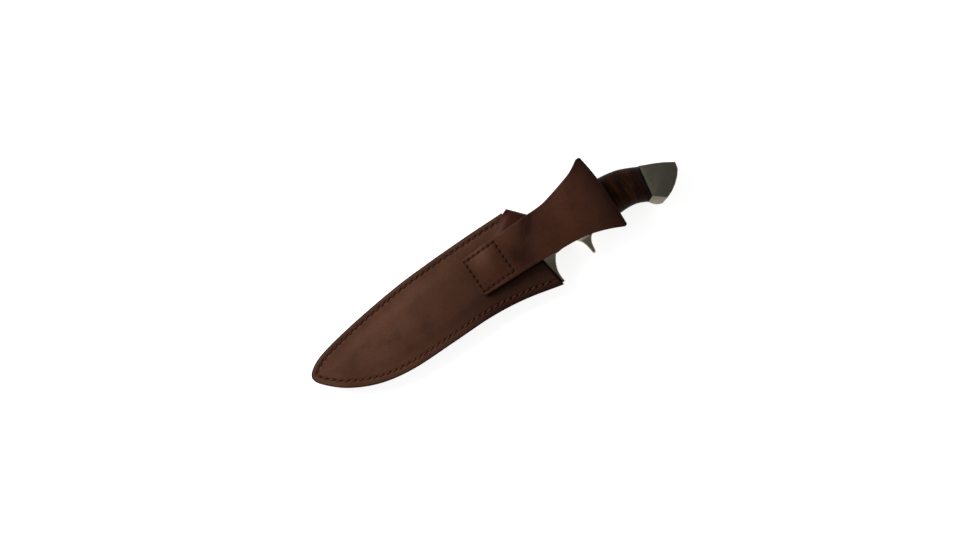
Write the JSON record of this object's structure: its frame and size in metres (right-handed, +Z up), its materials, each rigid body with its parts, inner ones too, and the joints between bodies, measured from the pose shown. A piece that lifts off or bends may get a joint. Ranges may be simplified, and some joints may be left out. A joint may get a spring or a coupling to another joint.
{
  "type": "sheathed sub-hilt knife",
  "caption": "Fixed-blade knife with guard, sub-hilt and stacked leather grip, in a sewn leather belt sheath with a snapped keeper strap.",
  "frame": {"origin": "middle of the footprint of the knife in its sheath, on the surface that it lies on", "axes": "+X is the way the knife is drawn, towards the pommel; +Y is towards the blade's spine; +Z is up, out of the belt-loop side of the sheath"},
  "size_m": [0.357, 0.0811, 0.0336],
  "materials": {
    "sheath_leather": "waxed, slightly worn",
    "welt_leather": "burnished edge",
    "strap_leather": "waxed",
    "keeper_leather": "waxed",
    "thread": "waxed thread",
    "dark_thread": "waxed thread",
    "snap_metal": "antique nickel",
    "blade_steel": "satin",
    "fitting_steel": "satin",
    "pommel_steel": "satin",
    "spacer_fibre": "satin",
    "washer_leather_1": "polished stacked leather",
    "washer_leather_2": "polished stacked leather",
    "washer_leather_3": "polished stacked leather"
  },
  "bodies": {
    "sheath": {"back_panel": "sheath_leather", "front_panel": "sheath_leather", "welt": "welt_leather", "edge_stitching": "thread", "belt_loop": "strap_leather", "box_stitching": "dark_thread", "keeper_root": "keeper_leather", "snap_stud": "snap_metal"},
    "knife": {"blade": "blade_steel", "guard": "fitting_steel", "guard_spacer": "spacer_fibre", "fore_washer_1": "washer_leather_1", "fore_washer_2": "washer_leather_2", "fore_washer_3": "washer_leather_3", "fore_washer_4": "washer_leather_1", "subhilt_front_spacer": "spacer_fibre", "sub_hilt": "fitting_steel", "subhilt_rear_spacer": "spacer_fibre", "washer_01": "washer_leather_2", "washer_02": "washer_leather_3", "washer_03": "washer_leather_1", "washer_04": "washer_leather_2", "washer_05": "washer_leather_3", "washer_06": "washer_leather_1", "washer_07": "washer_leather_2", "washer_08": "washer_leather_3", "washer_09": "washer_leather_1", "washer_10": "washer_leather_2", "washer_11": "washer_leather_3", "washer_12": "washer_leather_1", "washer_13": "washer_leather_2", "washer_14": "washer_leather_3", "washer_15": "washer_leather_1", "pommel_spacer": "spacer_fibre", "pommel": "pommel_steel", "tang_nut": "fitting_steel"},
    "keeper": {"keeper_strap": "keeper_leather", "snap_socket": "snap_metal", "snap_cap": "snap_metal"}
  },
  "joints": [
    {"name": "draw", "type": "slide", "parent": "sheath", "child": "knife", "axis": [1, 0, 0], "range_m": [0, 0.215]},
    {"name": "keeper_open", "type": "hinge", "parent": "sheath", "child": "keeper", "pos_m": [0.04477, 0.03273, 0.004], "axis": [0.6428, -0.766, 0], "range_deg": [0, 150]}
  ]
}
